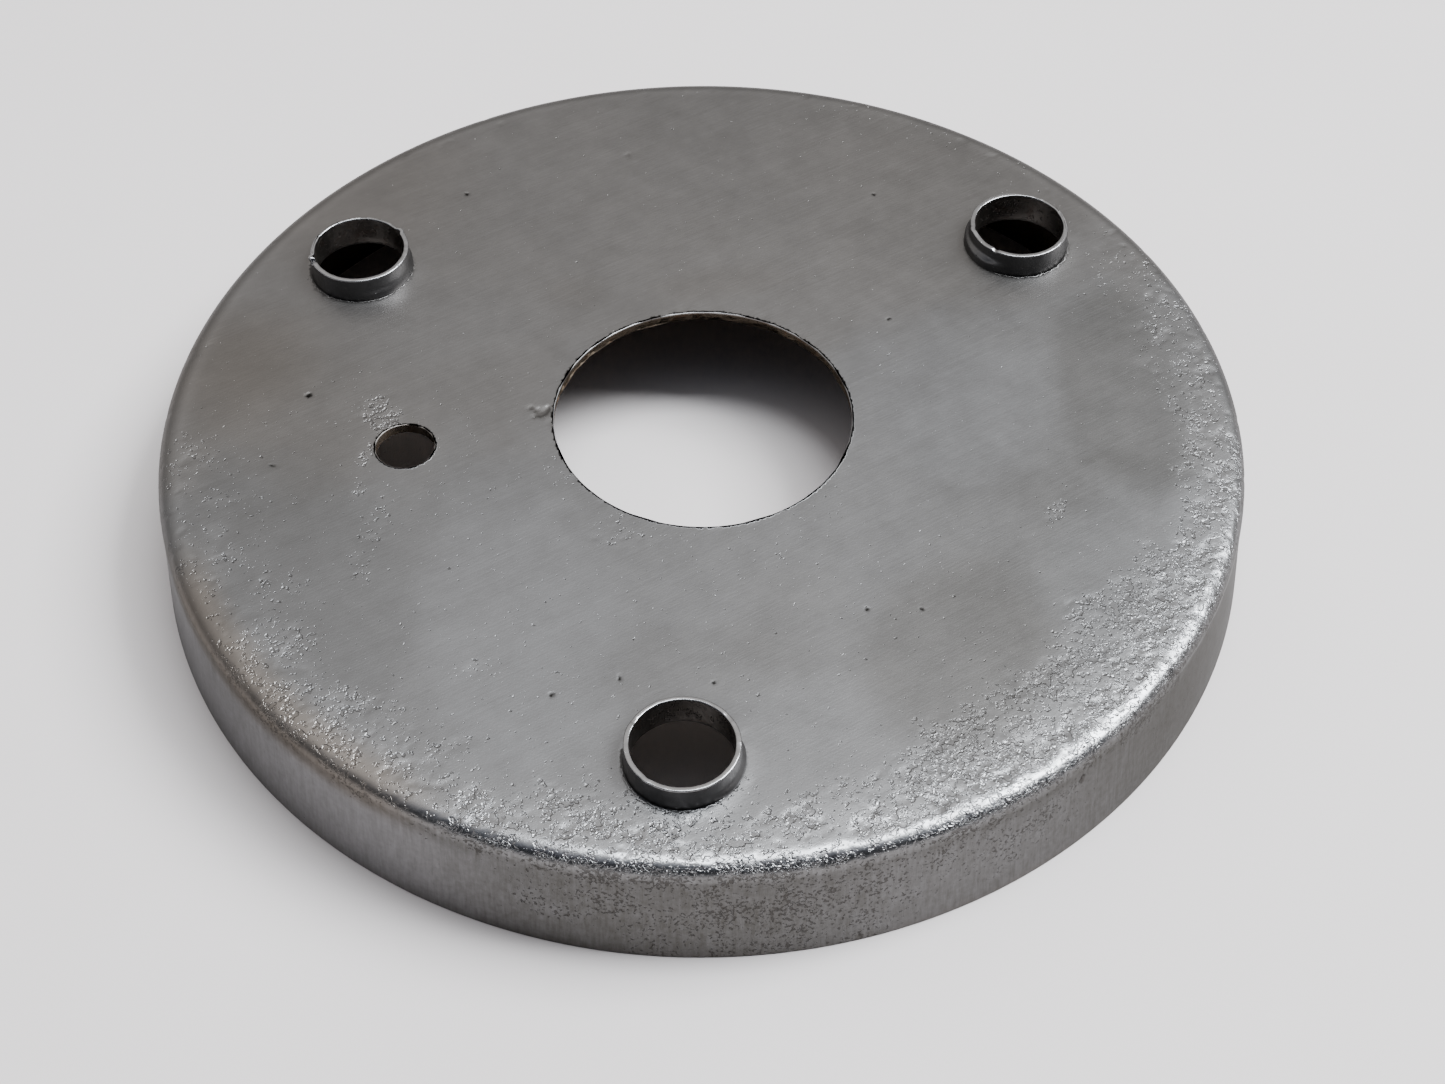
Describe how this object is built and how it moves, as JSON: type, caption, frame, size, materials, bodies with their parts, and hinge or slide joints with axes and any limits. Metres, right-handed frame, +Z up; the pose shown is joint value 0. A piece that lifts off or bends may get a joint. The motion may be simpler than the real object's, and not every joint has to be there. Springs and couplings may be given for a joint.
{
  "type": "floor drain cover",
  "caption": "Round pressed steel cap with a short skirt, a centre opening, a small side hole and raised thin-walled collars, used to cover a round floor drain outlet.",
  "frame": {"origin": "centre of the skirt's foot, on the plane that the cover stands on", "axes": "+Z up out of the disc; -Y towards the collar that stands alone at the front"},
  "size_m": [0.1524, 0.1524, 0.021],
  "materials": {
    "cover_steel": "bare satin steel, sanded, with old rust pitting",
    "collar_steel": "bare satin steel, bright at the rim"
  },
  "bodies": {
    "root": {"cover": "cover_steel", "front_collar": "collar_steel", "right_rear_collar": "collar_steel", "left_rear_collar": "collar_steel"}
  },
  "joints": []
}
